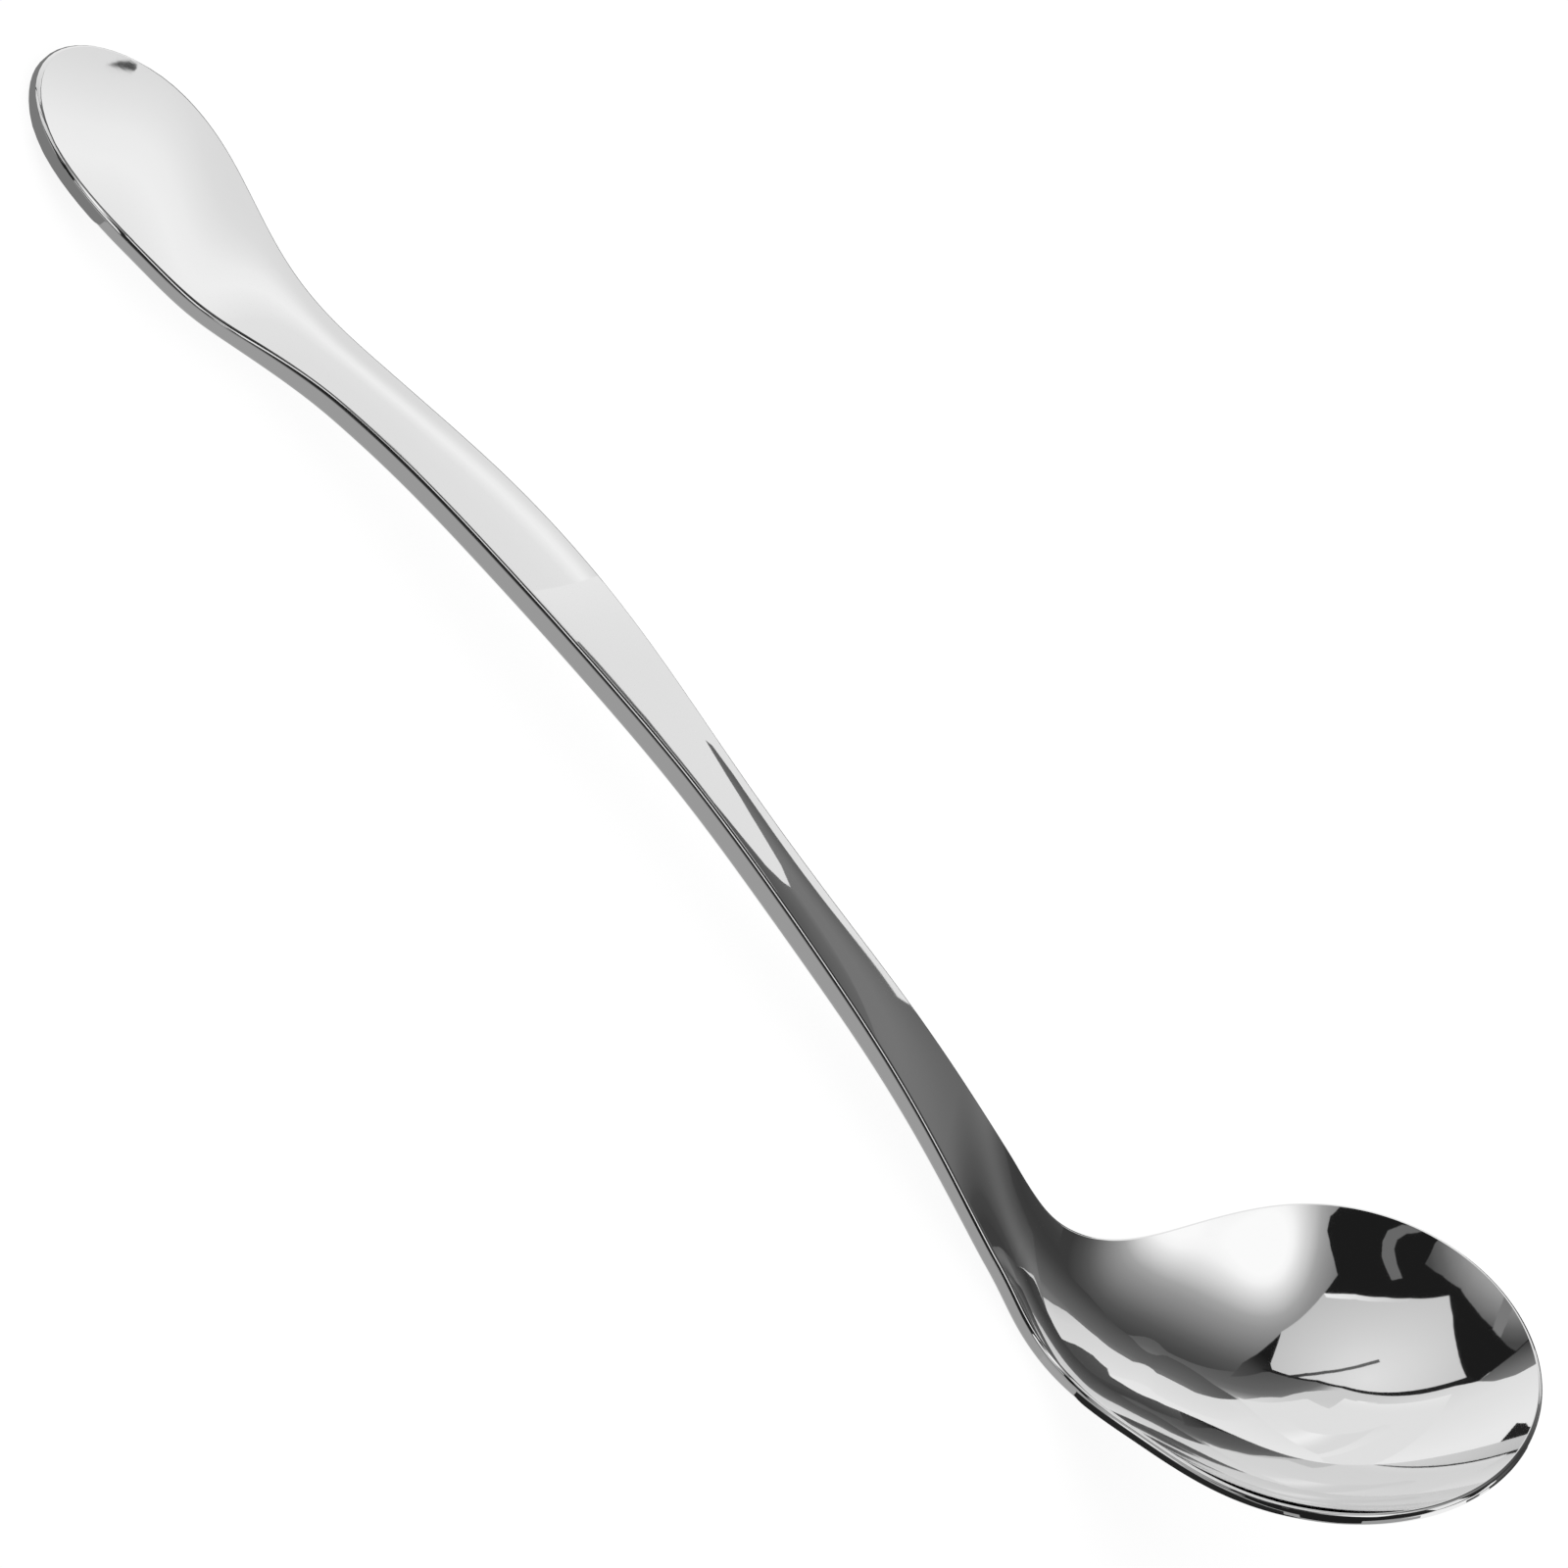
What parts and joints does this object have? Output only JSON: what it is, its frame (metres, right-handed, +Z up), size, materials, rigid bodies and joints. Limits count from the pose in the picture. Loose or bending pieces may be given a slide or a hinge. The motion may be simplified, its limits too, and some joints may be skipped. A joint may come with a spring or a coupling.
{
  "type": "soup spoon",
  "caption": "Polished steel soup spoon: a round shallow bowl, a neck that rises steeply out of it, and a slim, gently waved flat handle with a rounded paddle end.",
  "frame": {"origin": "On the ground plane, under the middle of the spoon's box, with the spoon lying on the back of its bowl and the end of its handle.", "axes": "+X along the spoon from the handle's end to the bowl's tip, +Y across it, +Z up. The mirror plane is Y = 0."},
  "size_m": [0.1902, 0.043, 0.0345],
  "materials": {
    "polished_steel": "mirror-polished stainless steel, plain and unmarked"
  },
  "bodies": {
    "root": {"bowl": "polished_steel", "handle": "polished_steel"}
  },
  "joints": []
}
